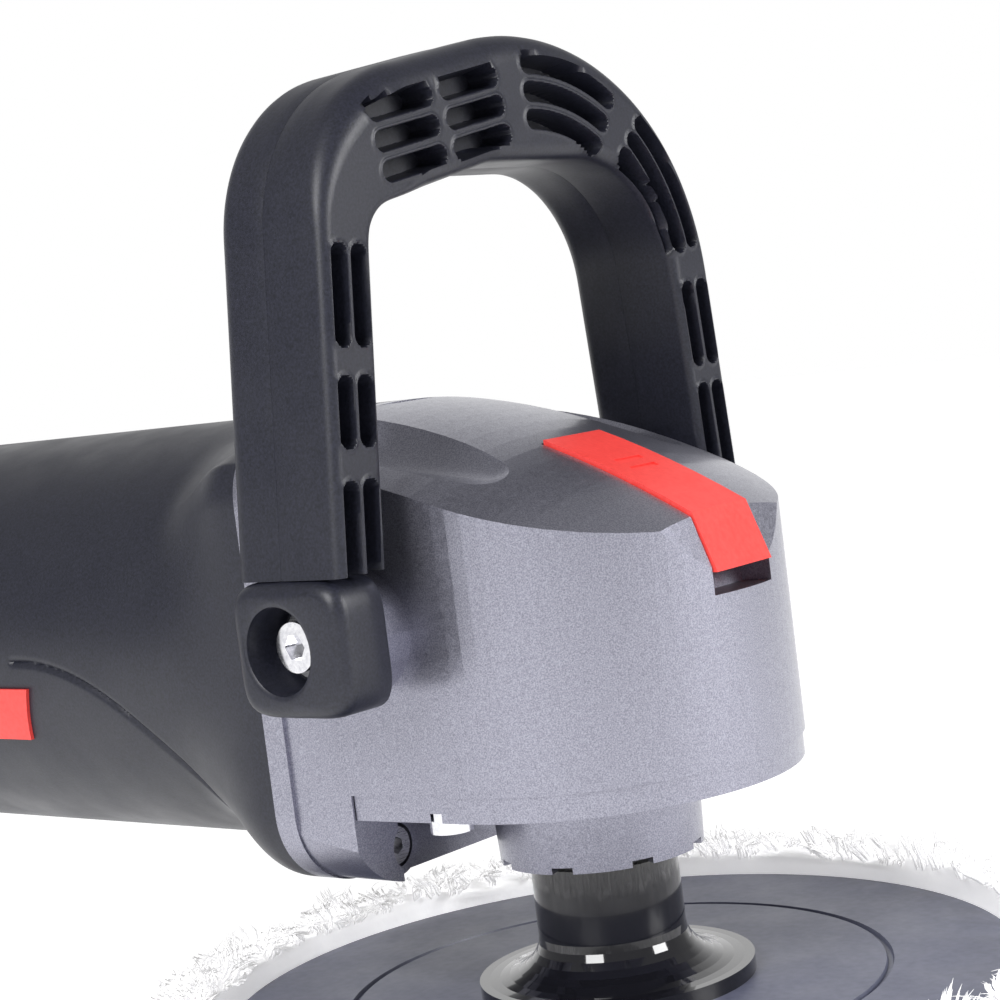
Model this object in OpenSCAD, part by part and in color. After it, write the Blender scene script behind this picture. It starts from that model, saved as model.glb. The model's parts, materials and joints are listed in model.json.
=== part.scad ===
// Rotary polisher with a D-shaped front handle, a wool pad on a backing disc and a long rear grip.
// Frame: the spindle axis is Z, the nose points to +X, and z = 0 is the working face of the wool pad.

/* [Pad and disc] */
// Diameter of the wool pad over its fibres
pad_d = 213; // [196:1:225]
// Height of the wool under the backing disc
pad_h = 24; // [18:1:30]
// Diameter of the backing disc
disc_d = 165; // [150:1:172]
// Thickness of the backing disc at its rim
disc_h = 13; // [10:0.5:18]
// Diameter of the neck of the hub
hub_neck_d = 30; // [28:0.5:33]
// Height of the hub's neck above the disc
hub_neck_h = 26; // [22:1:32]

/* [Gear head] */
// Radius of the round nose of the head
nose_r = 43.2; // [42:0.2:46]
// Height of the motor axis above the disc's top
axis_h = 74; // [72:1:80]
// Thickness of the bottom plate
plate_h = 5; // [4:0.5:6]
// Diameter of the neck collar under the plate
collar_d = 42.6; // [41:0.2:46]
// Width of the square flange behind the head
flange_w = 94; // [92:1:98]
// Radius of the corners of the flange
flange_r = 16; // [10:1:22]

/* [D-handle] */
// Distance from the middle to the outside of the left foot
near_half = 65.4; // [63.4:0.2:72]
// Distance from the middle to the outside of the right foot
far_half = 62.6; // [61.6:0.2:72]
// Height of the handle's top above its bolts
handle_h = 111.4; // [104:0.1:124]
// Radius of the tight corner on the left
near_r = 34; // [28:1:36]
// Radius of the wide corner on the right
far_r = 54.3; // [50:0.1:58]
// Thickness of a leg, seen from the front
leg_t = 12.5; // [12:0.5:14]
// Thickness of the grip bar, seen from the front
bar_t = 24; // [23:0.5:28]
// Depth of the handle from back to front
handle_depth = 29; // [26:1:34]

/* [Motor and rear grip] */
// Diameter of the motor housing
housing_d = 93; // [91:0.5:96]
// Length of the motor housing
housing_l = 138; // [134:1:150]
// Length of the rear grip
grip_l = 158; // [150:1:180]
// Width of the rear grip
grip_w = 40; // [36:1:46]

/* [Gears] */
// Teeth on the crown gear
crown_teeth = 36; // [36:12:36]
// Teeth on the pinion
pinion_teeth = 9; // [9:3:9]

/* [Fits] */
// Running clearance of a shaft in its bearing, on the radius
run_fit = 0.05; // [0.03:0.01:0.1]
// Gap between pieces that move past each other
gap = 0.4; // [0.35:0.05:0.6]

/* [Hidden] */
$fn = 64;

// Heights above the working face of the pad
hide_t = 2;
hook_t = 2;
disc_top = pad_h + hide_t + hook_t + disc_h - 1;
wool_rise = 5;
axis_z = disc_top + axis_h;
collar_z = disc_top + hub_neck_h + 1;
plate_z = axis_z - 31.5;
seam_z = plate_z + plate_h;
flange_z = axis_z - flange_w / 2;
head_top = axis_z + flange_w / 2;

// Places along the motor axis
skirt_x = -23.5;
flange_front = -38;
flange_t = 5.6;
housing_front = flange_front - flange_t;
housing_back = housing_front - housing_l;
housing_r = housing_d / 2;
housing_wall = 3.5;
bore_r = housing_r - housing_wall;
grip_back = housing_back - grip_l;

// Lock, gears and bearings
crown_r = 32;
crown_z = axis_z - 16;
crown_web = 6;
chamber_top = axis_z - 3;
lock_r = 17;
lock_holes = 12;
lock_pin_r = 2.6;
lower_bearing_z = collar_z + 6;
lower_bearing_h = 11;
lower_bearing_r = 17.5;
front_bearing_x = -48;
rear_bearing_x = housing_back + 14;
core_back = housing_front - 80;
comm_x = housing_front - 106;

// Button on the slope of the head
button_w = 17.8;
button_t = 3;
button_x = 5.3;
fold_x = 38.7;
lip_x = 42.3;
lip_z = axis_z + 9.6;

// Handle
bolt_x = -16;
bolt_z = axis_z + 5.6;
handle_front = 1;
split_x = handle_front - 15.5;
foot_t = 12;
foot_h = 25.6;
boss_r = 12.4;
washer_t = 1.2;
sink_depth = 10;
slot_w = 3.7;
bar_slope = 10.6;
near_slope = 6.3;
far_slope = 3.4;
inner_near_r = 9;
inner_far_r = 26;

// ---------- shared helpers ----------

// Cylinder lying along X from x0 to x1
module rod_x(r, x0, x1, z = axis_z, y = 0) {
    translate([x0, y, z]) rotate([0, 90, 0]) cylinder(r = r, h = x1 - x0);
}

// Cylinder lying along Y from y0 to y1
module rod_y(r, y0, y1, x = 0, z = axis_z) {
    translate([x, y1, z]) rotate([90, 0, 0]) cylinder(r = r, h = y1 - y0);
}

// Tube standing on z0
module tube(ro, ri, h, z0 = 0) {
    translate([0, 0, z0]) difference() {
        cylinder(r = ro, h = h);
        translate([0, 0, -1]) cylinder(r = ri, h = h + 2);
    }
}

// Tube lying along X from x0
module tube_x(ro, ri, l, x0) {
    translate([x0, 0, axis_z]) rotate([0, 90, 0]) tube(ro, ri, l);
}

// Outline drawn in the XZ plane and extruded over y0 to y1
module side_extrude(points, y0, y1) {
    translate([0, y1, 0]) rotate([90, 0, 0]) linear_extrude(y1 - y0) polygon(points);
}

// Outline drawn in the YZ plane and extruded from x0 to x1
module front_extrude(x0, x1) {
    translate([x0, 0, 0]) rotate([90, 0, 90]) linear_extrude(x1 - x0) children();
}

// Square with round corners, centred on the motor axis
module round_square(w, r) {
    translate([0, axis_z]) union() {
        square([w - 2 * r, w], center = true);
        square([w, w - 2 * r], center = true);
        for (sy = [-1, 1], sz = [-1, 1])
            translate([sy * (w / 2 - r), sz * (w / 2 - r)]) circle(r);
    }
}

// Points on a round arc
function arc(cx, cy, r, a0, a1, n = 12) =
    [for (i = [0:n]) let (a = a0 + (a1 - a0) * i / n) [cx + r * cos(a), cy + r * sin(a)]];

// Hexagon-socket cap screw along +Z with its head on top
module cap_screw(r, l, head_r, head_h, key_r) {
    difference() {
        union() {
            translate([0, 0, -l]) cylinder(r = r, h = l);
            cylinder(r = head_r, h = head_h);
        }
        translate([0, 0, head_h * 0.4]) cylinder(r = key_r, h = head_h, $fn = 6);
    }
}

// Pan-head screw along +Z with a cross recess
module pan_screw(r, l, head_r, head_h) {
    difference() {
        union() {
            translate([0, 0, -l]) cylinder(r = r, h = l);
            cylinder(r = head_r, h = head_h);
        }
        for (a = [0, 90])
            rotate([0, 0, a]) translate([-head_r * 0.6, -0.5, head_h * 0.45]) cube([head_r * 1.2, 1, head_h]);
    }
}

// Outer race, inner race and balls of a ball bearing that stands on z = 0
module race(ro, ri, h, groove_r, ball_r) {
    rotate_extrude() difference() {
        translate([ri, 0]) square([ro - ri, h]);
        translate([groove_r, h / 2]) circle(ball_r + run_fit, $fn = 24);
    }
}
module balls(n, ring_r, ball_r, h) {
    for (i = [0:n - 1])
        rotate([0, 0, i * 360 / n]) translate([ring_r, 0, h / 2]) sphere(ball_r - run_fit, $fn = 24);
}

// Coil spring along Z as one swept tube
module coil(r, wire, h, turns) {
    steps = 14;
    n = turns * steps;
    sides = 6;
    points = [for (i = [0:n]) let (a = i * 360 / steps)
        for (j = [0:sides - 1]) let (b = j * 360 / sides, d = r + wire * cos(b))
            [d * cos(a), d * sin(a), wire + (h - 2 * wire) * i / n + wire * sin(b)]];
    ends = [[for (j = [0:sides - 1]) j], [for (j = [sides - 1:-1:0]) n * sides + j]];
    skin = [for (i = [0:n - 1], j = [0:sides - 1]) let (k = (j + 1) % sides)
        [i * sides + j, (i + 1) * sides + j, (i + 1) * sides + k, i * sides + k]];
    polyhedron(points, concat(ends, skin), convexity = 8);
}

// ---------- gear head ----------

// Radius of the crown seen from the front
crown_arc = 134;

// Height of the crown of the head over the spindle plane
function crown_line(x) = let (u = x - flange_front) head_top - 0.1265 * u - 0.00284 * u * u;

// Plan of the head: round nose, sides that widen a little to the flange
module head_plan(grow = 0) {
    polygon(concat(
        arc(0, 0, nose_r + grow, -84, 84, 40),
        [[flange_front, flange_w / 2 - 0.8 + grow], [flange_front, -flange_w / 2 + 0.8 - grow]]));
}

// Sloping crowned top as a barrel turned about a low axis
module head_barrel() {
    low = head_top - crown_arc;
    back = [for (i = [0:14]) let (x = flange_front + (fold_x - flange_front) * i / 14) [x, crown_line(x) - low]];
    nose = [[lip_x, lip_z + 1 - low], [nose_r + 1, axis_z - low], [nose_r + 1, 0], [flange_front, 0]];
    translate([0, 0, low]) rotate([0, 90, 0]) rotate([0, 0, 90])
        rotate_extrude($fn = 120) polygon([for (p = concat(back, nose)) [p[1], p[0]]]);
}

// Front view of the square flange, whose top follows the crown
module flange_face(less = 0) {
    intersection() {
        round_square(flange_w - less, flange_r);
        translate([0, head_top - crown_arc]) circle(crown_arc, $fn = 180);
    }
}

module head_body() {
    intersection() {
        translate([0, 0, flange_z]) linear_extrude(flange_w + 4) head_plan();
        head_barrel();
        front_extrude(flange_front, nose_r + 2) round_square(flange_w - 0.6, flange_r);
    }
}

// Side profile of the button, and of the wider channel that it moves in
button_travel = 3.2;
channel_deep = button_travel + 0.6;
channel_down = button_travel + 1.1;
function slope(x0, x1, drop) = [for (i = [0:6]) let (x = x0 + (x1 - x0) * i / 6) [x, crown_line(x) - drop]];
function button_profile() = concat(
    slope(button_x, fold_x, -0.5),
    [[lip_x + 0.8, lip_z], [lip_x - button_t, lip_z]],
    slope(fold_x - button_t, button_x, button_t));
function channel_profile() = concat(
    slope(button_x - gap, fold_x, -0.5),
    [[nose_r + 2, crown_line(fold_x) + 0.5], [nose_r + 2, lip_z - channel_down],
     [lip_x - button_t - channel_deep, lip_z - channel_down]],
    slope(fold_x - button_t - channel_deep, button_x - gap, button_t + channel_deep));

module gear_head() {
    color([0.66, 0.67, 0.70]) difference() {
        union() {
            head_body();
            for (s = [-1, 1])
                rod_y(boss_r, s > 0 ? 40 : gap - foot_in(s), s > 0 ? foot_in(s) - gap : -40, bolt_x, bolt_z);
        }
        // Underside in front of the skirt
        translate([skirt_x, -60, flange_z - 1]) cube([80, 120, seam_z - flange_z + 1]);
        // Skirt stands back between its two side walls
        translate([skirt_x - 7.5, -33.5, flange_z - 1]) cube([8, 67, plate_z - flange_z + 1]);
        // Gear chamber, pinion tunnel and rear mouth
        translate([0, 0, seam_z - 1]) cylinder(r = 35, h = chamber_top - seam_z + 1);
        rod_x(14, flange_front - 1, 0);
        rod_x(20.6, flange_front - 1, flange_front + 3);
        // Upper bush pocket
        translate([0, 0, chamber_top - 1]) cylinder(r = 9, h = axis_z + 21 - chamber_top);
        // Lock pin bore and spring pocket
        translate([lock_r, 0, chamber_top - 1]) cylinder(r = lock_pin_r + run_fit, h = 60);
        translate([lock_r, 0, axis_z + 12]) cylinder(r = 4.4, h = 60);
        // Channel of the button
        side_extrude(channel_profile(), -button_w / 2 - gap, button_w / 2 + gap);
        // Long scoops beside the crown
        for (s = [-1, 1])
            translate([flange_front - 6, s * 30, axis_z + 48]) rotate([0, 97, 0]) {
                cylinder(r = 11, h = 52);
                translate([0, 0, 52]) sphere(11);
            }
        // Threaded holes of the handle bolts
        for (s = [-1, 1])
            rod_y(3, s > 0 ? 42 : -80, s > 0 ? 80 : -42, bolt_x, bolt_z);
        // Holes of the screws
        for (p = upper_screws) rod_x(2.1, flange_front - 1, flange_front + 13, p[1], p[0]);
        for (p = plate_screw_places()) translate([p[0], p[1], seam_z - 1]) cylinder(r = 2, h = 11);
        for (p = flush_screw_places()) translate([p[0], p[1], seam_z - 1]) cylinder(r = 1.8, h = 10);
        for (p = lower_screws) {
            rod_x(2.4, flange_front - 1, skirt_x + 1, p[1], p[0]);
            rod_x(4.5, lower_seat, skirt_x + 1, p[1], p[0]);
        }
    }
    // Bosses of the lower screws, open to the front
    color([0.66, 0.67, 0.70]) for (p = lower_screws) difference() {
        rod_x(6.2, skirt_x - 9, skirt_x - 3.5, p[1], p[0]);
        rod_x(2.4, skirt_x - 10, skirt_x, p[1], p[0]);
        rod_x(4.5, lower_seat, skirt_x, p[1], p[0]);
    }
}
upper_screws = [for (s = [-1, 1]) [s * 36, axis_z + 34.5]];
lower_screws = [for (s = [-1, 1]) [s * 31, axis_z - 40]];
lower_seat = skirt_x - 7.5;
function plate_screw_places() = [for (s = [-1, 1]) [-4, s * 38.6]];
function flush_screw_places() = [for (s = [-1, 1]) [38.8 * cos(35), s * 38.8 * sin(35)]];
plate_seat = plate_z + 1.8;

module head_plate() {
    notches = 8;
    color([0.66, 0.67, 0.70]) difference() {
        union() {
            intersection() {
                translate([0, 0, plate_z]) linear_extrude(plate_h) head_plan(-0.6);
                translate([skirt_x + 0.2, -60, plate_z]) cube([90, 120, plate_h]);
            }
            translate([0, 0, collar_z]) cylinder(r1 = collar_d / 2 - 0.7, r2 = collar_d / 2, h = plate_z - collar_z + 1);
            translate([0, 0, seam_z - 0.5]) cylinder(r = 22, h = 3.5);
        }
        translate([0, 0, lower_bearing_z]) cylinder(r = lower_bearing_r, h = 60);
        translate([0, 0, collar_z - 1]) cylinder(r = 13.4, h = 20);
        translate([0, 0, collar_z - 1]) cylinder(r = 17.8, h = 4);
        for (i = [0:notches - 1])
            rotate([0, 0, i * 360 / notches + 16]) translate([17, -2.2, collar_z - 1]) cube([6, 4.4, 2.3]);
        for (p = plate_screw_places()) {
            translate([p[0], p[1], plate_z - 1]) cylinder(r = 2.2, h = 20);
            translate([p[0], p[1], plate_z - 1]) cylinder(r = 4.6, h = plate_seat - plate_z + 1);
        }
        for (p = flush_screw_places()) {
            translate([p[0], p[1], plate_z - 1]) cylinder(r = 2, h = 20);
            translate([p[0], p[1], plate_z]) cylinder(r1 = 3.6, r2 = 2, h = 1.8);
        }
    }
}

module plate_screws() {
    color([0.80, 0.80, 0.82]) for (p = plate_screw_places())
        translate([p[0], p[1], plate_seat]) rotate([180, 0, 0]) cap_screw(1.95, 12, 4.2, 4.2, 2);
}

module flush_screws() {
    color([0.55, 0.55, 0.57]) for (p = flush_screw_places()) translate([p[0], p[1], plate_z + 0.1]) difference() {
        union() {
            cylinder(r = 1.75, h = 12);
            cylinder(r1 = 3.4, r2 = 1.75, h = 1.7);
        }
        for (a = [0, 90]) rotate([0, 0, a]) translate([-2.2, -0.4, -1]) cube([4.4, 0.8, 1.9]);
    }
}

module flange_plate() {
    color([0.66, 0.67, 0.70]) difference() {
        union() {
            front_extrude(housing_front, flange_front) flange_face();
            rod_x(20.2, front_bearing_x - 1.5, flange_front + 1.8);
        }
        rod_x(16, front_bearing_x - 2, front_bearing_x + 10);
        rod_x(12.4, front_bearing_x, 0);
        for (p = concat(upper_screws, lower_screws)) rod_x(2.4, housing_front - 1, flange_front + 1, p[1], p[0]);
        for (sy = [-1, 1]) translate([housing_front - 1, sy * 30 - 4, axis_z - 12]) cube([8, 8, 24]);
    }
}

module head_screws() {
    color([0.80, 0.80, 0.82]) {
        for (p = upper_screws)
            translate([housing_front - 6, p[0], p[1]]) rotate([0, 90, 0]) rotate([180, 0, 0])
                cap_screw(2.05, 22, 3.8, 4, 1.8);
        for (p = lower_screws)
            translate([lower_seat, p[0], p[1]]) rotate([0, 90, 0]) cap_screw(2.05, 22, 3.8, 4, 1.8);
    }
}

// ---------- spindle lock ----------

module lock_button() {
    color([0.95, 0.28, 0.26]) difference() {
        side_extrude(button_profile(), -button_w / 2, button_w / 2);
        // Finger marks on the sloping face
        for (x = [18, 21.5])
            translate([x, -4, crown_line(x) + 0.1]) rotate([0, 24, 0]) cube([1.4, 8, 2]);
        translate([lock_r, 0, axis_z]) cylinder(r = lock_pin_r, h = lock_pin_top() - axis_z);
    }
}

module lock_pin() {
    color([0.75, 0.75, 0.77]) {
        translate([lock_r, 0, crown_z + crown_web + 1]) cylinder(r = lock_pin_r, h = lock_pin_top() - crown_z - crown_web - 1);
        translate([lock_r, 0, axis_z + 19]) cylinder(r = 4, h = 1.5);
    }
}
function lock_pin_top() = crown_line(lock_r) - button_t + 0.9;

module lock_spring() {
    color([0.55, 0.56, 0.58]) translate([lock_r, 0, axis_z + 12.1]) coil(3.4, 0.4, 6.8, 4);
}

// ---------- spindle and its bearings ----------

module spindle() {
    color([0.62, 0.63, 0.66]) difference() {
        union() {
            translate([0, 0, disc_top + 4]) cylinder(r = 7, h = collar_z - disc_top);
            translate([0, 0, collar_z + 0.6]) cylinder(r = 12.4, h = 3.6);
            translate([0, 0, collar_z + 3]) cylinder(r = 7.5, h = crown_z - collar_z - 3);
            translate([0, 0, crown_z - 1]) cylinder(r = 7, h = 15);
            translate([0, 0, crown_z]) cylinder(r = 6, h = axis_z + 20 - crown_z);
        }
        translate([4.6, -2, crown_z + 0.5]) cube([4, 4, 12]);
        tube(9, 6.4, 1.2, crown_z + 12.6);
    }
}

module crown_gear() {
    color([0.45, 0.46, 0.48]) difference() {
        union() {
            translate([0, 0, crown_z]) cylinder(r = crown_r, h = crown_web);
            translate([0, 0, crown_z - 3]) cylinder(r = 11, h = 12.5);
            for (i = [0:crown_teeth - 1])
                rotate([0, 0, (i + 0.5) * 360 / crown_teeth])
                    translate([23.5, -0.6, crown_z + crown_web - 0.5]) cube([8, 1.2, 3.6]);
        }
        translate([0, 0, crown_z - 4]) cylinder(r = 7, h = 30);
        translate([0, 0, crown_z - 4]) cylinder(r = 7.5 + run_fit, h = 4);
        translate([6, -2, crown_z - 4]) cube([3.2, 4, 30]);
        for (i = [0:lock_holes - 1])
            rotate([0, 0, i * 360 / lock_holes]) translate([lock_r, 0, crown_z - 1]) cylinder(r = 3.1, h = 20);
    }
}

module gear_key() {
    color([0.5, 0.5, 0.52]) translate([4.6, -1.99, crown_z + 0.55]) cube([4.5, 3.98, 8.4]);
}

module retaining_ring() {
    color([0.3, 0.3, 0.32]) difference() {
        tube(8.4, 6.45, 1, crown_z + 12.7);
        translate([4, -1.5, crown_z + 12]) cube([8, 3, 4]);
    }
}

module lower_bearing_outer() {
    color([0.72, 0.73, 0.75]) translate([0, 0, lower_bearing_z])
        race(lower_bearing_r, 14.2, lower_bearing_h, 12.4, 3);
}
module lower_bearing_inner() {
    color([0.72, 0.73, 0.75]) translate([0, 0, lower_bearing_z])
        race(10.6, 7.5, lower_bearing_h, 12.4, 3);
}
module lower_bearing_balls() {
    color([0.85, 0.85, 0.87]) translate([0, 0, lower_bearing_z]) balls(9, 12.4, 3, lower_bearing_h);
}
module upper_bush() {
    color([0.72, 0.55, 0.30]) tube(9, 6 + run_fit, 12, axis_z + 6);
}
module dust_seal() {
    color([0.25, 0.25, 0.26]) tube(17.7, 13.2, 2.4, collar_z + 0.4);
}

// ---------- armature ----------

module pinion() {
    color([0.45, 0.46, 0.48]) difference() {
        union() {
            rod_x(5.6, -35.6, -23.4);
            for (i = [0:pinion_teeth - 1])
                translate([-31.5, 0, axis_z]) rotate([i * 360 / pinion_teeth + 180, 0, 0])
                    translate([0, -0.55, 4]) cube([8, 1.1, 3.45]);
        }
        rod_x(4, -40, -10);
    }
}
module pinion_nut() {
    color([0.6, 0.6, 0.62]) difference() {
        translate([-23.3, 0, axis_z]) rotate([0, 90, 0]) cylinder(r = 6, h = 4, $fn = 6);
        rod_x(4, -30, -10);
    }
}
module armature_shaft() {
    color([0.62, 0.63, 0.66]) {
        rod_x(4, -36, -18.4);
        rod_x(6, core_back, -35.6);
        rod_x(5, rear_bearing_x + 8, core_back);
        rod_x(4.5, rear_bearing_x - 2, rear_bearing_x + 8);
    }
}
module armature_core() {
    slots = 14;
    color([0.40, 0.40, 0.42]) difference() {
        rod_x(23, core_back, core_back + 46);
        rod_x(6, core_back - 1, core_back + 50);
        for (i = [0:slots - 1])
            translate([core_back - 1, 0, axis_z]) rotate([i * 360 / slots, 0, 0])
                translate([0, -1, 12]) cube([50, 2, 12]);
    }
}
module armature_windings() {
    color([0.72, 0.38, 0.18]) {
        tube_x(20, 6.2, 6, core_back + 46);
        tube_x(20, 6.2, 8, core_back - 8);
    }
}
module commutator() {
    bars = 24;
    color([0.78, 0.50, 0.28]) difference() {
        rod_x(13, comm_x, comm_x + 14);
        rod_x(5, comm_x - 1, comm_x + 20);
        for (i = [0:bars - 1])
            translate([comm_x - 1, 0, axis_z]) rotate([i * 360 / bars, 0, 0])
                translate([0, -0.3, 12]) cube([14, 0.6, 2]);
    }
}
module fan() {
    blades = 13;
    color([0.12, 0.12, 0.13]) difference() {
        union() {
            rod_x(11, housing_front - 20, housing_front - 7);
            rod_x(38, housing_front - 12, housing_front - 10);
            for (i = [0:blades - 1])
                translate([housing_front - 20, 0, axis_z]) rotate([i * 360 / blades, 0, 0])
                    translate([0, -0.9, 10]) cube([9, 1.8, 27]);
        }
        rod_x(6, housing_front - 30, housing_front);
    }
}

// One bearing on the motor axis, from x0, with the three pieces picked by name
module motor_bearing(x0, piece, ro, mo, mi, ri, w, ball_r, n) {
    ring_r = (mo + mi) / 2;
    translate([x0, 0, axis_z]) rotate([0, 90, 0]) {
        if (piece == "outer") race(ro, mo, w, ring_r, ball_r);
        if (piece == "inner") race(mi, ri, w, ring_r, ball_r);
        if (piece == "balls") balls(n, ring_r, ball_r, w);
    }
}
module front_bearing(piece) {
    color([0.72, 0.73, 0.75]) motor_bearing(front_bearing_x, piece, 16, 12.6, 9.2, 6, 10, 2.6, 9);
}
module rear_bearing(piece) {
    color([0.72, 0.73, 0.75]) motor_bearing(rear_bearing_x, piece, 13, 10.2, 7.2, 4.5, 8, 2.2, 8);
}
module rear_bearing_sleeve() {
    color([0.10, 0.10, 0.11]) tube_x(15, 13, 8, rear_bearing_x);
}

// ---------- stator and brushes ----------

module air_baffle() {
    color([0.14, 0.14, 0.16]) tube_x(bore_r, 27, 3, housing_front - 27);
}
coil_span = 54;
module coil_sector(ri, ro, l, x0, span) {
    for (a = [0, 180])
        translate([x0, 0, axis_z]) rotate([a, 0, 0]) rotate([0, 90, 0]) rotate([0, 0, 180 - span])
            rotate_extrude(angle = 2 * span) translate([ri, 0]) square([ro - ri, l]);
}
module stator_core() {
    color([0.42, 0.42, 0.44]) difference() {
        rod_x(bore_r - 1.5, core_back, core_back + 46);
        rod_x(23.6, core_back - 1, core_back + 50);
        coil_sector(25.5, 34, 50, core_back - 2, coil_span + 2);
    }
}
module field_coils() {
    color([0.72, 0.38, 0.18]) coil_sector(25.7, 33.8, 56, core_back - 5, coil_span);
}
module brush_holders() {
    color([0.78, 0.62, 0.30]) for (s = [0, 180]) translate([comm_x + 7, 0, axis_z]) rotate([s, 0, 0]) difference() {
        union() {
            translate([-5, 15, -7]) cube([10, bore_r - 16, 14]);
            translate([0, bore_r - 2, 0]) rotate([90, 0, 0]) cylinder(r = 9.6, h = 4);
        }
        translate([-3.2, 14, -5.2]) cube([6.4, 60, 10.4]);
        translate([0, bore_r + 2, 0]) rotate([90, 0, 0]) cylinder(r = 7.6, h = 7);
    }
}
module carbon_brushes() {
    color([0.10, 0.10, 0.10]) for (s = [0, 180]) translate([comm_x + 7, 0, axis_z]) rotate([s, 0, 0])
        translate([-3.1, 13.1, -5.1]) cube([6.2, 17, 10.2]);
}
module brush_caps() {
    color([0.08, 0.08, 0.09]) for (s = [0, 180]) translate([comm_x + 7, 0, axis_z]) rotate([s, 0, 0]) difference() {
        union() {
            translate([0, housing_r - 0.4, 0]) rotate([90, 0, 0]) cylinder(r = 8.4, h = 3);
            translate([0, housing_r - 2, 0]) rotate([90, 0, 0]) cylinder(r = 7.3, h = 5.5);
        }
        translate([-6, housing_r - 1.6, -0.9]) cube([12, 3, 1.8]);
    }
}

// ---------- motor housing ----------

vent_count = 9;
module motor_housing() {
    shoulder = 30;
    color([0.10, 0.10, 0.12]) difference() {
        union() {
            rod_x(housing_r, housing_back, housing_front);
            // Blend from the round barrel to the square flange
            hull() {
                front_extrude(housing_front - 3, housing_front) flange_face();
                rod_x(housing_r - 0.2, housing_front - shoulder - 1, housing_front - shoulder, $fn = 72);
            }
        }
        rod_x(bore_r, housing_back + 22, housing_front - 12);
        rod_x(24, front_bearing_x - 2, housing_front + 1);
        rod_x(bore_r - 3, housing_front - 13, housing_front - 5);
        rod_x(15, rear_bearing_x - 0.1, housing_back + 40);
        rod_x(8, housing_back - 1, rear_bearing_x + 2);
        tube_x(bore_r, 20, 12, housing_back - 1);
        // Air ways through the rear web
        for (i = [0:5])
            translate([housing_back - 1, 0, axis_z]) rotate([i * 60, 0, 0])
                translate([0, 0, 30]) rotate([0, 90, 0]) cylinder(r = 7, h = 30);
        // Slots for the cooling air
        for (s = [-1, 1], i = [0:vent_count - 1])
            translate([housing_back + 26, 0, axis_z]) rotate([s * (50 + i * 8), 0, 0])
                translate([-12, -1.2, bore_r - 12]) cube([24, 2.4, 30]);
        // Exhaust slots beside the fan
        for (a = [-150:12:150])
            if (abs(a) < 60 || abs(a) > 120)
                translate([housing_front - 22, 0, axis_z]) rotate([a + 180, 0, 0])
                    translate([0, -1.2, bore_r - 6]) cube([9, 2.4, 14]);
        // Brush cap holes
        rod_y(8.6, -60, 60, comm_x + 7);
        // Holes for the head screws
        for (p = upper_screws) {
            rod_x(2.4, housing_front - 12, housing_front + 1, p[1], p[0]);
            rod_x(4.2, housing_front - 60, housing_front - 6, p[1], p[0]);
        }
        for (p = lower_screws) rod_x(2.1, housing_front - 12, housing_front + 1, p[1], p[0]);
    }
}

// Plain slanted plate on each side of the housing
module side_badges() {
    x0 = housing_front - 94;
    color([0.93, 0.22, 0.20]) for (s = [-1, 1]) intersection() {
        tube_x(housing_r + 0.8, housing_r, 30, x0 - 4);
        side_extrude([[x0, axis_z - 18], [x0 + 14, axis_z - 18], [x0 + 19, axis_z - 6], [x0 + 5, axis_z - 6]],
            s > 0 ? 20 : -60, s > 0 ? 60 : -20);
    }
}

// ---------- rear grip ----------

grip_mid = axis_z - 2;
function grip_outline(g) = concat(
    [[housing_back - 0.2, axis_z - housing_r + 3 + g], [housing_back - 0.2, axis_z + housing_r - 3 - g]],
    [for (i = [0:8]) let (t = i / 8, e = (1 - cos(180 * t)) / 2)
        [housing_back - 6 - 30 * t, axis_z + housing_r - 3 - g - e * (housing_r - 25)]],
    [for (i = [0:8]) let (t = i / 8) [housing_back - 50 - (grip_l - 66) * t, axis_z + 22 - g - 3 * sin(180 * t)]],
    arc(grip_back + 12, axis_z + 12, 12 - g, 90, 180, 6),
    arc(grip_back + 12, axis_z - 20, 12 - g, 180, 270, 6),
    [for (i = [0:8]) let (t = i / 8) [grip_back + 20 + (grip_l - 60) * t, axis_z - 30 + g + 6 * sin(90 * min(1, t * 3))]],
    [for (i = [0:6]) let (t = i / 6, e = (1 - cos(180 * t)) / 2)
        [housing_back - 34 + 28 * t, axis_z - 24 + g - e * (housing_r - 27)]]);
module grip_plan(g) {
    half = grip_w / 2 - g;
    wide = housing_r - 3 - g;
    edge = [for (i = [0:8]) let (t = i / 8, e = (1 - cos(180 * t)) / 2) [housing_back - 6 - 36 * t, wide - e * (wide - half)]];
    tail = arc(grip_back + 12 + g, half - 12, 12, 90, 180, 6);
    side = concat([[housing_back - 0.2, wide]], edge, tail);
    polygon(concat(side, [for (i = [len(side) - 1:-1:0]) [side[i][0], -side[i][1]]]));
}
module grip_solid(g) {
    intersection() {
        side_extrude(grip_outline(g), -60, 60);
        translate([0, 0, axis_z - 60]) linear_extrude(120) grip_plan(g);
        rod_x(housing_r - 0.5 - g, grip_back - 1, housing_back);
    }
}
trigger_w = 16;
trigger_x = housing_back - 40;
trigger_l = 62;
trigger_z = axis_z - 24;
pivot_x = trigger_x - 4;
pivot_z = trigger_z + 8;
dial_x = housing_back - 24;
dial_z = axis_z + 22;
dial_r = 13;
lock_on_x = trigger_x - 40;
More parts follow.
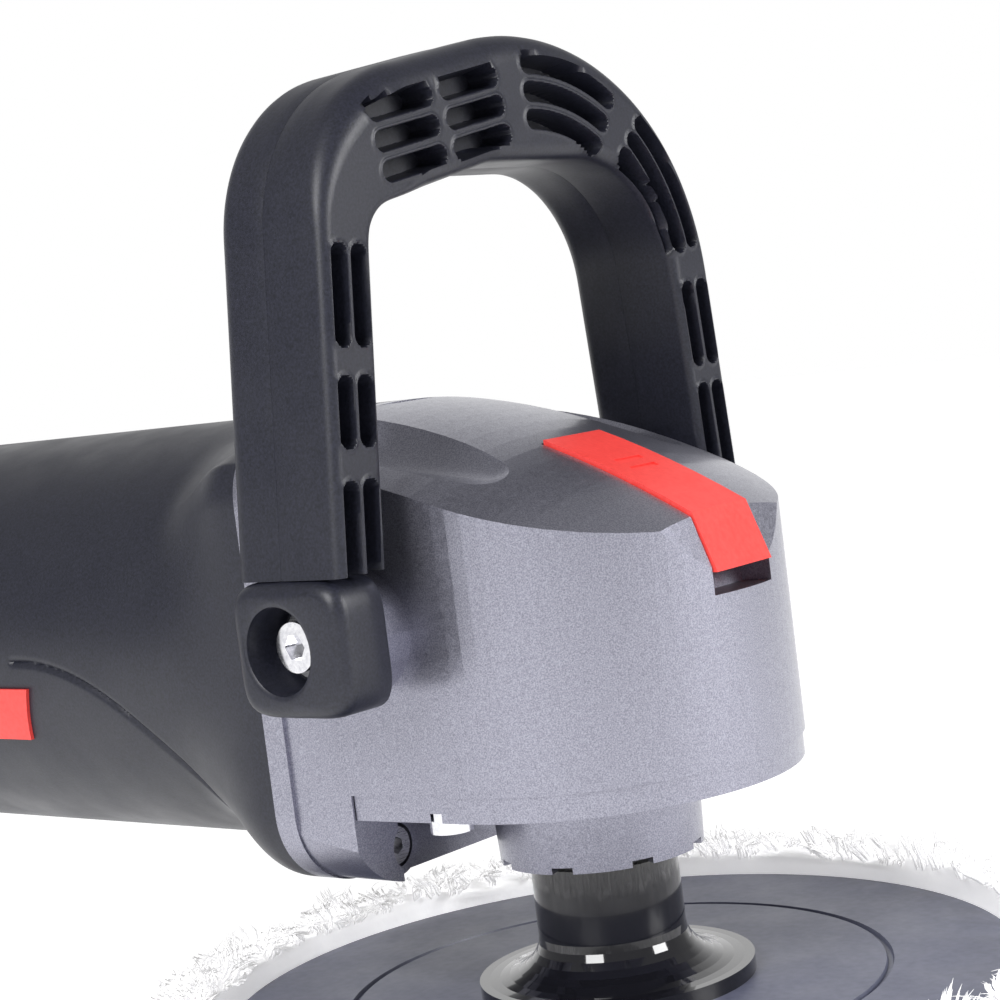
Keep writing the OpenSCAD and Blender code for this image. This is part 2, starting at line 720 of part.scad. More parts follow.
module grip_shell() {
    difference() {
        grip_solid(0);
        intersection() {
            grip_solid(3);
            translate([grip_back + 4, -60, 0]) cube([grip_l - 2, 120, 300]);
        }
        translate([housing_back - 5, 0, axis_z]) rotate([0, 90, 0]) cylinder(r = housing_r - 8, h = 10);
        // Trigger slot, dial slot, lock-on hole and cord inlet
        translate([trigger_x - trigger_l - 2, -trigger_w / 2 - gap, trigger_z - 20])
            cube([trigger_l + 5, trigger_w + 2 * gap, 34]);
        rod_y(dial_r + 0.8, -4.4, 4.4, dial_x, dial_z);
        rod_y(5.2 + gap, -60, 0, lock_on_x, axis_z + 4);
        rod_x(9.1, grip_back - 1, grip_back + 5, axis_z - 4);
    }
}
module grip_half(s) {
    difference() {
        intersection() {
            grip_shell();
            translate([grip_back - 5, s > 0 ? 0.05 : -80.05, 0]) cube([grip_l + 20, 80, 300]);
        }
        for (p = grip_screw_places())
            rod_y(1.75, s > 0 ? -1 : -60, s > 0 ? 60 : 1, p[0], p[1]);
        for (p = grip_screw_places())
            rod_y(3.7, -60, -grip_w / 2 + 2.2, p[0], p[1]);
    }
}
function grip_screw_places() = [[grip_back + 10, axis_z + 12], [grip_back + 10, axis_z - 20], [housing_back - 46, axis_z + 14]];
module grip_bosses(s) {
    for (p = grip_screw_places())
        intersection() {
            difference() {
                rod_y(4.6, s > 0 ? 0.05 : -grip_w / 2 + 2, s > 0 ? grip_w / 2 - 2 : -0.05, p[0], p[1]);
                rod_y(1.75, -60, 60, p[0], p[1]);
                rod_y(3.7, -60, -grip_w / 2 + 2.2, p[0], p[1]);
            }
            grip_solid(1);
        }
}
module grip_left() {
    color([0.10, 0.10, 0.12]) {
        grip_half(-1);
        grip_bosses(-1);
    }
}
module grip_right() {
    color([0.10, 0.10, 0.12]) {
        grip_half(1);
        grip_bosses(1);
    }
}
module grip_screws() {
    color([0.70, 0.70, 0.72]) for (p = grip_screw_places())
        translate([p[0], -grip_w / 2 + 2.2, p[1]]) rotate([90, 0, 0]) pan_screw(1.7, 26, 3.4, 1.8);
}

module trigger() {
    color([0.08, 0.08, 0.09]) difference() {
        side_extrude(concat(
            arc(pivot_x, pivot_z, 4.2, 90, -40, 8),
            [for (i = [0:8]) let (t = i / 8) [pivot_x + 1 - 48 * t, trigger_z - 3 - 4 * sin(90 * t)]],
            arc(pivot_x - 50, trigger_z - 3, 4, 270, 180, 5),
            [[pivot_x - 54, trigger_z + 4], [pivot_x - 40, trigger_z + 6]]),
            -trigger_w / 2, trigger_w / 2);
        rod_y(1.5 + run_fit, -20, 20, pivot_x, pivot_z);
    }
}
module trigger_switch() {
    pin_half = grip_w / 2 - 5;
    color([0.16, 0.16, 0.18]) {
        translate([pivot_x - 54, -9, axis_z - 7]) cube([34, 18, 23]);
        rod_y(1.5, -pin_half, pin_half, pivot_x, pivot_z);
        for (s = [-1, 1])
            translate([pivot_x - 26, s > 0 ? 9 : -10.4, pivot_z - 3]) cube([29, 1.4, axis_z - 3 - pivot_z]);
    }
}
module lock_on_button() {
    color([0.08, 0.08, 0.09]) union() {
        rod_y(5.2, -grip_w / 2 - 3.6, -grip_w / 2 + 5.4, lock_on_x, axis_z + 4);
        rod_y(6.8, -grip_w / 2 + 3.4, -grip_w / 2 + 5.4, lock_on_x, axis_z + 4);
    }
}
module speed_dial() {
    ribs = 24;
    color([0.08, 0.08, 0.09]) difference() {
        rod_y(dial_r, -3.9, 3.9, dial_x, dial_z);
        for (i = [0:ribs - 1])
            translate([dial_x, 0, dial_z]) rotate([0, i * 360 / ribs, 0])
                translate([dial_r, -5, 0]) rotate([-90, 0, 0]) cylinder(r = 0.8, h = 10, $fn = 16);
        rod_y(2.5 + run_fit, -10, 10, dial_x, dial_z);
    }
}
module speed_board() {
    color([0.10, 0.30, 0.18]) difference() {
        union() {
            rod_y(2.5, -8, 8, dial_x, dial_z);
            for (s = [-1, 1])
                translate([dial_x - 3, s * 7 - 1.5, axis_z - 2]) cube([6, 3, 23.6]);
            translate([dial_x - 14, -14, axis_z - 4]) cube([28, 28, 2.4]);
        }
        rod_y(0.9, -10, 10, dial_x, dial_z);
    }
}
module cord_gland() {
    color([0.09, 0.09, 0.10]) difference() {
        union() {
            rod_x(9, grip_back - 14, grip_back + 5, axis_z - 4);
            rod_x(10.4, grip_back - 3, grip_back - 0.1, axis_z - 4);
            rod_x(10.4, grip_back + 5, grip_back + 8, axis_z - 4);
        }
        rod_x(3.8, grip_back - 20, grip_back + 10, axis_z - 4);
        for (x = [-12, -8.5, -5]) translate([grip_back + x, 0, axis_z - 4]) rotate([0, 90, 0]) tube(12, 7.6, 1.4);
    }
}

// ---------- D-handle ----------

// Distance from the middle to the outside and inside of a foot; s is -1 for the left one
function foot_side(s) = s < 0 ? near_half : far_half;
function foot_in(s) = foot_side(s) - foot_t;
foot_top = bolt_z + foot_h / 2;
foot_bottom = bolt_z - foot_h / 2;

// Centres of the outer corners: the bar slopes between them
far_c = [far_half - 57.6, bolt_z + handle_h - far_r];
near_cy = 41.8 - near_half;
near_c = [near_cy, far_c[1] + (far_r - near_r) / cos(bar_slope) + tan(bar_slope) * (near_cy - far_c[0])];

// Point at angle a on a circle, as [y, z]
function ring(c, r, a) = c + r * [cos(a), sin(a)];
// Point a share t along the line from p to q
function along(p, q, t) = p + (q - p) * t;
// Lower end of a leg line that starts at p and leans outwards at slope degrees
function leg_low(p, slope, s, z) = [p[0] + s * tan(slope) * (p[1] - z), z];

// Place on the outline taken in by g: t runs 0..1 up the left leg, 1..2 round the left corner,
// 2..3 along the bar, 3..4 round the right corner, 4..5 down the right leg
function outline(t, g = 0) =
    t <= 1 ? let (top = ring(near_c, near_r - g, 180 - near_slope)) along(leg_low(top, near_slope, -1, foot_top), top, t)
    : t <= 2 ? ring(near_c, near_r - g, 180 - near_slope - (90 - near_slope - bar_slope) * (t - 1))
    : t <= 3 ? along(ring(near_c, near_r - g, 90 + bar_slope), ring(far_c, far_r - g, 90 + bar_slope), t - 2)
    : t <= 4 ? ring(far_c, far_r - g, 90 + bar_slope - (90 + bar_slope - far_slope) * (t - 3))
    : let (top = ring(far_c, far_r - g, far_slope)) along(top, leg_low(top, far_slope, 1, foot_top), t - 4);
outer_line = [for (i = [0:50]) outline(i / 10)];

// Inside of the loop: legs, tight left corner, sloping then level bar, wide right corner
in_low = outline(0, leg_t);
in_far_low = outline(5, leg_t);
in_top = far_c[1] + far_r - bar_t - 1.3;
in_far_c = [in_far_low[0] - tan(far_slope) * 40 - inner_far_r - 0.6, in_top - inner_far_r];
in_near_c = [in_low[0] + tan(near_slope) * 62 + inner_near_r, in_top - 6.4 - inner_near_r];
inner_line = concat(
    [in_low],
    arc(in_near_c[0], in_near_c[1], inner_near_r, 180 - near_slope, 90 + bar_slope, 8),
    [[far_c[0] - 9, in_top]],
    arc(in_far_c[0], in_far_c[1], inner_far_r, 90, far_slope, 12),
    [in_far_low]);

// Left or right foot as part of the outline, taken in by g
function foot_out(s, g) = [[s * (foot_side(s) + 0.8 - g), foot_top - g], [s * (foot_side(s) + 0.8 - g), foot_bottom + g]];
function foot_inside(s, g) = [[s * (foot_in(s) + g), foot_bottom + g], [s * (foot_in(s) + g), foot_top + g]];
function turn(p) = [for (i = [len(p) - 1:-1:0]) p[i]];
module handle_ring() {
    polygon(concat(
        turn(foot_out(-1, 0)), outer_line, foot_out(1, 0),
        foot_inside(1, 0), turn(inner_line), turn(foot_inside(-1, 0))));
}

// Round end of a slot at t, turning from a0 to a1
function slot_end(t, g, a0, a1) = let (c = row_place(t, g), n = row_place(t, g - slot_w / 2) - c)
    [for (i = [1:5]) let (a = a0 + (a1 - a0) * i / 6) c + n * cos(a) + [n[1], -n[0]] * sin(a)];
// Place on a row of slots: the rows of the bar run on straight into the left corner
function row_place(t, g) = t > 1 && t <= 2
    ? along(ring(near_c, near_r - g, 90 + bar_slope), ring(far_c, far_r - g, 90 + bar_slope), t - 2)
    : outline(t, g);
module row_slot(t0, t1, g) {
    n = 10;
    up = [for (i = [0:n]) row_place(t0 + (t1 - t0) * i / n, g - slot_w / 2)];
    down = [for (i = [n:-1:0]) row_place(t0 + (t1 - t0) * i / n, g + slot_w / 2)];
    polygon(concat(up, slot_end(t1, g, 0, 180), down, slot_end(t0, g, 180, 360)));
}
leg_rows = [4, 9];
bar_rows = [7.8, 13.5, 19.2];
turn_rows = [6.4, 11.9, 17.4];
far_rows = [4.4, 8.9, 13.4];
leg_cells = [[-0.17, 0.27], [0.36, 0.57], [0.65, 0.95], [4.03, 4.4], [4.5, 4.97]];
bar_cells = [[1.48, 2.17], [2.3, 2.96]];

module handle_slots() {
    front_extrude(handle_front - 8, handle_front + 1) {
        for (c = leg_cells, g = leg_rows) row_slot(c[0], c[1], g);
        for (c = bar_cells, g = bar_rows) row_slot(c[0], c[1], g);
        for (g = turn_rows) row_slot(3.09, 3.46, g);
        for (g = far_rows) row_slot(3.55, 3.93, g);
    }
}
module handle_holes() {
    for (s = [-1, 1]) {
        floor_y = foot_side(s) - sink_depth;
        rod_y(3.3, s > 0 ? 30 : -90, s > 0 ? 90 : -30, bolt_x, bolt_z);
        rod_y(8.2, s > 0 ? floor_y : -90, s > 0 ? 90 : -floor_y, bolt_x, bolt_z);
    }
    for (p = shell_screw_places()) {
        rod_x(1.6, handle_front - handle_depth + 3, handle_front - 9, p[1], p[0]);
        rod_x(3.3, handle_front - handle_depth - 1, handle_front - handle_depth + 4, p[1], p[0]);
    }
}
function shell_screw_places() = [outline(0.5, leg_t / 2), outline(4.5, leg_t / 2), outline(2.5, bar_t / 2)];
module handle_front_shell() {
    color([0.09, 0.09, 0.11]) difference() {
        front_extrude(split_x, handle_front) handle_ring();
        handle_slots();
        handle_holes();
    }
}
module handle_rear_shell() {
    color([0.09, 0.09, 0.11]) difference() {
        front_extrude(handle_front - handle_depth, split_x - 0.05) handle_ring();
        handle_holes();
    }
}
module handle_bolts() {
    color([0.82, 0.82, 0.84]) for (s = [-1, 1])
        translate([bolt_x, s * (foot_side(s) - sink_depth + gap + washer_t), bolt_z]) rotate([s > 0 ? -90 : 90, 0, 0])
            cap_screw(2.95, 12, 4.8, 4.6, 2.6);
}
module handle_washers() {
    color([0.75, 0.75, 0.77]) for (s = [-1, 1])
        translate([bolt_x, s * (foot_side(s) - sink_depth + gap), bolt_z]) rotate([s > 0 ? -90 : 90, 0, 0])
            tube(7, 3, washer_t);
}
module handle_shell_screws() {
    color([0.70, 0.70, 0.72]) for (p = shell_screw_places())
        translate([handle_front - handle_depth + 4, p[0], p[1]]) rotate([0, -90, 0]) pan_screw(1.55, 13, 3.2, 2);
}

// ---------- pad ----------

module pad_hub() {
    rib = disc_top + 3;
    color([0.05, 0.05, 0.06]) difference() {
        translate([0, 0, 0]) rotate_extrude($fn = 96) polygon(concat(
            [[0, disc_top], [28, disc_top], [28, rib]],
            [for (i = [0:8]) let (a = 90 * i / 8)
                [hub_neck_d / 2 + 11 * (1 - sin(a)), rib + 8 * (1 - cos(a))]],
            [[hub_neck_d / 2, disc_top + hub_neck_h], [0, disc_top + hub_neck_h]]));
        translate([0, 0, disc_top - 1]) cylinder(r = 7 + run_fit, h = hub_neck_h + 2);
        translate([0, 0, disc_top + hub_neck_h - 0.8]) cylinder(r = 12.8, h = 2);
    }
}
module backing_disc() {
    low = disc_top - disc_h + 1;
    color([0.40, 0.42, 0.50]) difference() {
        rotate_extrude($fn = 128) polygon(concat(
            [[4, low], [disc_d / 2 - 4, low]],
            arc(disc_d / 2 - 4, low + 4, 4, -90, 0, 6),
            [[disc_d / 2, disc_top - 2.2], [disc_d / 2 - 2, disc_top - 0.4], [55.4, disc_top], [55.1, disc_top - 0.9],
             [54.2, disc_top - 0.9], [53.9, disc_top], [4, disc_top]]));
        translate([0, 0, low - 1]) cylinder(r = 8, h = disc_h + 2);
    }
}
module hook_layer() {
    color([0.20, 0.20, 0.22]) tube(disc_d / 2 - 3, 8, hook_t - 0.05, pad_h + hide_t + 0.03);
}
module hide_backing() {
    color([0.80, 0.68, 0.50]) tube(disc_d / 2 + 4, 8, hide_t - 0.05, pad_h + 0.03);
}
module wool_pad() {
    r = pad_d / 2;
    rise = disc_top + wool_rise;
    in_r = disc_d / 2 + 4.5;
    color([0.96, 0.95, 0.93]) rotate_extrude($fn = 96) polygon(concat(
        [[0, 0], [r - 14, 0]],
        arc(r - 14, 14, 14, -90, 0, 6),
        arc(r - 6, rise - 6, 6, 0, 90, 4),
        [[in_r, rise], [in_r, pad_h], [0, pad_h]]));
}

gear_head();
head_plate();
flange_plate();
motor_housing();
grip_left();
grip_right();
handle_front_shell();
handle_rear_shell();
handle_bolts();
handle_washers();
handle_shell_screws();
lock_button();
lock_pin();
lock_spring();
spindle();
crown_gear();
gear_key();
retaining_ring();
lower_bearing_outer();
lower_bearing_inner();
lower_bearing_balls();
upper_bush();
dust_seal();
pinion();
pinion_nut();
armature_shaft();
armature_core();
armature_windings();
commutator();
fan();
front_bearing("outer");  // front_bearing_outer
front_bearing("inner");  // front_bearing_inner
front_bearing("balls");  // front_bearing_balls
rear_bearing("outer");  // rear_bearing_outer
rear_bearing("inner");  // rear_bearing_inner
rear_bearing("balls");  // rear_bearing_balls
rear_bearing_sleeve();
air_baffle();
stator_core();
field_coils();
brush_holders();
carbon_brushes();
brush_caps();
plate_screws();
flush_screws();
head_screws();
grip_screws();
side_badges();
trigger();
trigger_switch();
lock_on_button();
speed_dial();
speed_board();
cord_gland();
pad_hub();
backing_disc();
hook_layer();
hide_backing();
wool_pad();
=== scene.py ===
# %% [markdown]
# A rotary polisher in Blender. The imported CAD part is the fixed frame: its gears, bearings, motor
# and screws are used as they are. The outside that the eye rests on, such as the cast head, the
# moulded handle and the wool, is rebuilt here as surfaces worked out with numpy, because cast and
# moulded skins have soft edges, crowns and textures that plain solids lack.

# %% Load the frame
import json
import math

import bpy
import numpy as np
from mathutils import Matrix, Vector


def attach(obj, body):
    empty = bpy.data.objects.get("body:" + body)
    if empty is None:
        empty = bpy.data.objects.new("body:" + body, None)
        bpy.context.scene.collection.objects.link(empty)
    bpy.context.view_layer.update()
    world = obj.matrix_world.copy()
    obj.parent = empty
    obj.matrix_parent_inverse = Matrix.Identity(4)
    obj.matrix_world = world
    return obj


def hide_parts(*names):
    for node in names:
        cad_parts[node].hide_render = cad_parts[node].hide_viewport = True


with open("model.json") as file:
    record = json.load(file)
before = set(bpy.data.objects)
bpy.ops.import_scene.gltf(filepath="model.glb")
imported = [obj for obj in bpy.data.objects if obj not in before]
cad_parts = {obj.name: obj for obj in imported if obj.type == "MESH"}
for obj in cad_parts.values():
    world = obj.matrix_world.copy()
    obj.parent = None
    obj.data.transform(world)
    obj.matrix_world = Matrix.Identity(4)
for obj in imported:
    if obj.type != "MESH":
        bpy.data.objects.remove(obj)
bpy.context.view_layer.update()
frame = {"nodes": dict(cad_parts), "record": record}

# %% [markdown]
# The camera stands low in front of the nose and a little above the pad, rolled a few degrees. It
# comes first so that every later choice of detail can be judged through it. Its axes are written
# as three unit vectors: right, up and back.

# %% Camera
MM = 0.001
camera_data = bpy.data.cameras.new("camera")
camera_data.sensor_width = 36.0
camera_data.lens = 81.4
camera = bpy.data.objects.new("camera", camera_data)
bpy.context.collection.objects.link(camera)
right = Vector((0.7516, 0.6476, -0.1255)).normalized()
back = Vector((0.6579, -0.7497, 0.0714)).normalized()
up = back.cross(right).normalized()
right = up.cross(back).normalized()
axes = Matrix((right, up, back)).transposed().to_4x4()
camera.matrix_world = Matrix.Translation((0.2880, -0.3459, 0.1716)) @ axes
bpy.context.scene.camera = camera
print("camera looks along", [round(-c, 3) for c in back])

# %% [markdown]
# Every new piece is a grid of points worked out as one array, rows by columns by three. One
# helper turns such a grid into a mesh. Its columns always wrap round. Its rows wrap too on a ring,
# and otherwise each open end is closed with one many-sided face, so every piece is a closed skin.

# %% From a grid to a mesh
def skin(name, grid, wrap_rows=False):
    """Face (i, j) joins points (i, j), (i+1, j), (i+1, j+1) and (i, j+1); columns wrap."""
    rows, cols = grid.shape[:2]
    i = np.arange(rows if wrap_rows else rows - 1)
    i, j = np.meshgrid(i, np.arange(cols), indexing="ij")
    a = i * cols + j
    b = ((i + 1) % rows) * cols + j
    c = ((i + 1) % rows) * cols + (j + 1) % cols
    d = i * cols + (j + 1) % cols
    quads = np.stack([a, b, c, d], axis=-1).reshape(-1, 4)
    faces = quads.tolist()
    if not wrap_rows:
        faces.append(list(range(cols)))
        faces.append([(rows - 1) * cols + k for k in range(cols - 1, -1, -1)])
    mesh = bpy.data.meshes.new(name)
    mesh.from_pydata(grid.reshape(-1, 3).astype(float).tolist(), [], faces)
    return finish_mesh(name, mesh)


def finish_mesh(name, mesh):
    """Merges points that fall together, turns faces outwards and links the object at the origin."""
    import bmesh
    work = bmesh.new()
    work.from_mesh(mesh)
    bmesh.ops.remove_doubles(work, verts=work.verts, dist=1e-7)
    bmesh.ops.recalc_face_normals(work, faces=work.faces)
    work.to_mesh(mesh)
    work.free()
    mesh.polygons.foreach_set("use_smooth", [True] * len(mesh.polygons))
    piece = bpy.data.objects.new(name, mesh)
    bpy.context.collection.objects.link(piece)
    print(name, len(mesh.polygons), "faces")
    return piece


def soft_corners(piece, angle=35):
    """Keeps edges sharper than the angle crisp while the rest of the skin shades smooth."""
    piece.data.set_sharp_from_angle(angle=math.radians(angle))


def ease(t):
    """Smooth step: 0 below 0, 1 above 1, and 3t^2 - 2t^3 between."""
    t = np.clip(t, 0.0, 1.0)
    return t * t * (3.0 - 2.0 * t)


def arc_points(cx, cy, r, a0, a1, n):
    """n + 1 points on a circle round (cx, cy), from angle a0 to a1 in degrees."""
    a = np.radians(np.linspace(a0, a1, n + 1))
    return np.stack([cx + r * np.cos(a), cy + r * np.sin(a)], axis=1)


# %% [markdown]
# Materials are node graphs. Cast metal is painted with a fine metallic paint, whose flakes glitter;
# moulded plastic has a fine pebble grain; steel has turning marks. All of them are made by one
# small builder that adds noise to the colour, roughness and height of a principled shader.

# %% Material builder
def material(name, color, metallic=0.0, roughness=0.5, **extra):
    """Principled material with constants on its own sockets; returns the material and its tools."""
    m = bpy.data.materials.new(name)
    m.use_nodes = True
    tree = m.node_tree
    shader = tree.nodes["Principled BSDF"]
    shader.inputs["Base Color"].default_value = (*color, 1.0)
    shader.inputs["Metallic"].default_value = metallic
    shader.inputs["Roughness"].default_value = roughness
    for key, value in extra.items():
        shader.inputs[key.replace("_", " ")].default_value = value
    return m, tree, shader


def add(tree, kind, **settings):
    """New node; settings that name an input set its value, the rest set the node's own options."""
    node = tree.nodes.new(kind)
    for key, value in settings.items():
        if key in node.inputs:
            node.inputs[key].default_value = value
        else:
            setattr(node, key, value)
    return node


def object_noise(tree, scale, detail=2.0, roughness=0.5, stretch=(1, 1, 1)):
    """Noise on Object coordinates, optionally stretched; returns the node."""
    place = tree.nodes.new("ShaderNodeTexCoord")
    mapping = tree.nodes.new("ShaderNodeMapping")
    mapping.inputs["Scale"].default_value = stretch
    tree.links.new(place.outputs["Object"], mapping.inputs["Vector"])
    noise = add(tree, "ShaderNodeTexNoise", Scale=scale, Detail=detail, Roughness=roughness)
    tree.links.new(mapping.outputs["Vector"], noise.inputs["Vector"])
    return noise


def spread(tree, source, low, high, to):
    """Maps the middle of a noise, 0.3 to 0.7, onto low to high and links it."""
    span = add(tree, "ShaderNodeMapRange")
    span.inputs["From Min"].default_value = 0.3
    span.inputs["From Max"].default_value = 0.7
    span.inputs["To Min"].default_value = low
    span.inputs["To Max"].default_value = high
    tree.links.new(source, span.inputs["Value"])
    tree.links.new(span.outputs["Result"], to)


def tint(tree, source, dark, light, to):
    """Colour that runs from dark to light as the noise goes from 0.3 to 0.7."""
    ramp = tree.nodes.new("ShaderNodeValToRGB")
    ramp.color_ramp.elements[0].position = 0.3
    ramp.color_ramp.elements[1].position = 0.7
    ramp.color_ramp.elements[0].color = (*dark, 1.0)
    ramp.color_ramp.elements[1].color = (*light, 1.0)
    tree.links.new(source, ramp.inputs["Fac"])
    tree.links.new(ramp.outputs["Color"], to)


def relief(tree, source, shader, strength, distance):
    """Height from a noise, in metres of depth."""
    bump = add(tree, "ShaderNodeBump", Strength=strength, Distance=distance)
    tree.links.new(source, bump.inputs["Height"])
    tree.links.new(bump.outputs["Normal"], shader.inputs["Normal"])
    return bump


# %% [markdown]
# The silver of the cast head is paint: metallic flakes in a binder under a clear coat. Plastic and
# bare metal follow, each a function of a few numbers, so that one recipe serves many pieces.

# %% Recipes for paint, plastic and metal
def painted_silver():
    """Silver paint: tiny flakes tilt the normal, and a clear coat lies over them."""
    m, tree, shader = material("silver_paint", (0.30, 0.30, 0.36), 0.88, 0.34,
                               Coat_Weight=0.35, Coat_Roughness=0.12)
    flakes = object_noise(tree, 3800.0, 1.0, 0.6)
    tint(tree, flakes.outputs["Fac"], (0.23, 0.23, 0.285), (0.43, 0.43, 0.51),
         shader.inputs["Base Color"])
    mottle = object_noise(tree, 900.0, 2.0, 0.6)
    spread(tree, mottle.outputs["Fac"], 0.30, 0.40, shader.inputs["Roughness"])
    relief(tree, flakes.outputs["Fac"], shader, 0.25, 0.00008)
    return m


def grained_plastic(name, dark, light, rough=0.5, grain=1400.0, depth=0.00006):
    """Moulded plastic with a fine pebble grain."""
    m, tree, shader = material(name, light, 0.0, rough)
    pebbles = object_noise(tree, grain, 2.0, 0.55)
    tint(tree, pebbles.outputs["Fac"], dark, light, shader.inputs["Base Color"])
    cloud = object_noise(tree, 60.0, 3.0, 0.6)
    spread(tree, cloud.outputs["Fac"], rough - 0.05, rough + 0.06, shader.inputs["Roughness"])
    relief(tree, pebbles.outputs["Fac"], shader, 0.35, depth)
    return m


def metal(name, dark, light, rough, stretch=(1, 1, 1), scale=500.0, metallic=1.0):
    """Bare metal with fine marks along one direction."""
    m, tree, shader = material(name, light, metallic, rough)
    marks = object_noise(tree, scale, 3.0, 0.6, stretch)
    tint(tree, marks.outputs["Fac"], dark, light, shader.inputs["Base Color"])
    spread(tree, marks.outputs["Fac"], rough * 0.8, rough * 1.25, shader.inputs["Roughness"])
    relief(tree, marks.outputs["Fac"], shader, 0.12, 0.00004)
    return m


# %% Finishes
silver = painted_silver()
black = grained_plastic("black_grain", (0.007, 0.008, 0.014), (0.019, 0.020, 0.034), 0.42, 1900.0)
red = grained_plastic("red_satin", (0.86, 0.052, 0.044), (0.93, 0.072, 0.062),
                      0.42, 900.0, 0.00002)
chrome = metal("chrome", (0.62, 0.62, 0.66), (0.88, 0.88, 0.90), 0.12, (1, 1, 1), 700.0)
steel = metal("turned_steel", (0.38, 0.38, 0.40), (0.62, 0.62, 0.65), 0.30, (1, 1, 14), 300.0)
gear_steel = metal("gear_steel", (0.16, 0.16, 0.18), (0.34, 0.34, 0.36), 0.34, (1, 1, 1), 600.0)
bronze = metal("bronze", (0.46, 0.30, 0.13), (0.72, 0.52, 0.27), 0.36, (1, 1, 1), 800.0)
copper = metal("copper_wire", (0.42, 0.16, 0.06), (0.74, 0.36, 0.17), 0.33, (26, 1, 1), 160.0)
laminations = metal("laminations", (0.12, 0.12, 0.13), (0.30, 0.30, 0.32),
                    0.45, (40, 1, 1), 60.0, 0.8)
rubber = grained_plastic("black_rubber", (0.010, 0.010, 0.011), (0.022, 0.022, 0.024),
                         0.68, 1100.0, 0.00005)
carbon = grained_plastic("carbon", (0.012, 0.012, 0.012), (0.035, 0.035, 0.036),
                         0.6, 1800.0, 0.00003)
board = grained_plastic("circuit_board", (0.010, 0.09, 0.040), (0.020, 0.15, 0.070),
                        0.38, 500.0, 0.00003)
slate = grained_plastic("slate_moulding", (0.105, 0.112, 0.165), (0.135, 0.142, 0.205),
                        0.40, 520.0, 0.00003)
gloss, gloss_tree, gloss_shader = material("gloss_black", (0.008, 0.008, 0.011), 0.0, 0.07,
                                           Coat_Weight=0.6, Coat_Roughness=0.03)
gloss_noise = object_noise(gloss_tree, 120.0, 2.0)
spread(gloss_tree, gloss_noise.outputs["Fac"], 0.05, 0.10, gloss_shader.inputs["Roughness"])
relief(gloss_tree, gloss_noise.outputs["Fac"], gloss_shader, 0.05, 0.00006)
hide = grained_plastic("sheep_hide", (0.52, 0.40, 0.24), (0.70, 0.57, 0.38),
                       0.75, 500.0, 0.0002)
hook_tape = grained_plastic("hook_tape", (0.012, 0.012, 0.014), (0.06, 0.06, 0.065),
                            0.85, 1500.0, 0.0004)
print("finishes", len(bpy.data.materials))


# %% [markdown]
# The record names a material slot for every CAD node, and each slot has one finish here.

# %% Finishes on the CAD nodes
FINISH = {"cast_metal": silver, "black_plastic": black, "red_plastic": red, "steel": steel,
          "chrome": chrome, "gear_steel": gear_steel, "bronze": bronze, "copper": copper,
          "laminations": laminations, "rubber_black": rubber, "carbon": carbon, "board": board,
          "hub_gloss": gloss, "disc_grey": slate, "hook": hook_tape, "hide": hide}
slot_of = {s["node"]: s["material_slot"] for s in frame["record"]["subparts"]}
for node, obj in frame["nodes"].items():
    finish = FINISH.get(slot_of[node])
    if finish:
        obj.data.materials.clear()
        obj.data.materials.append(finish)
print("CAD nodes finished", len(frame["nodes"]))

# %% [markdown]
# The handle is a loop with a tight corner on one side and a wide one on the other. Its outer
# outline is an arc, a sloping line and a second arc between two leaning legs. Each place on that
# outline looks inwards, square to it, and finds the inside of the loop; the strip between the two
# is the front face, where the slots are pressed in. The rear half is the same loop turned back.

# %% Outline of the handle
BOLT_X, BOLT_Z = -16.0, 119.6
FRONT, SPLIT, BACK = 1.0, -14.5, -28.0
FOOT_TOP = BOLT_Z + 12.8
MIDDLE = (FRONT + BACK) / 2
NEAR_HALF, FAR_HALF, NEAR_R, FAR_R, LEG_T, BAR_T = 65.4, 62.6, 34.0, 54.3, 12.5, 24.0
BAR_SLOPE, NEAR_SLOPE, FAR_SLOPE = 10.6, 6.3, 3.4
far_c = np.array([FAR_HALF - 57.6, BOLT_Z + 111.4 - FAR_R])
near_y = 41.8 - NEAR_HALF
slope_tan = math.tan(math.radians(BAR_SLOPE))
near_z = (far_c[1] + (FAR_R - NEAR_R) / math.cos(math.radians(BAR_SLOPE))
          + slope_tan * (near_y - far_c[0]))
near_c = np.array([near_y, near_z])
near_tan, far_tan = math.tan(math.radians(NEAR_SLOPE)), math.tan(math.radians(FAR_SLOPE))


def on_ring(c, r, degrees):
    """Point at an angle on a circle in the plane of the handle, as (y, z)."""
    a = np.radians(degrees)
    return np.stack([c[0] + r * np.cos(a), c[1] + r * np.sin(a)], axis=-1)


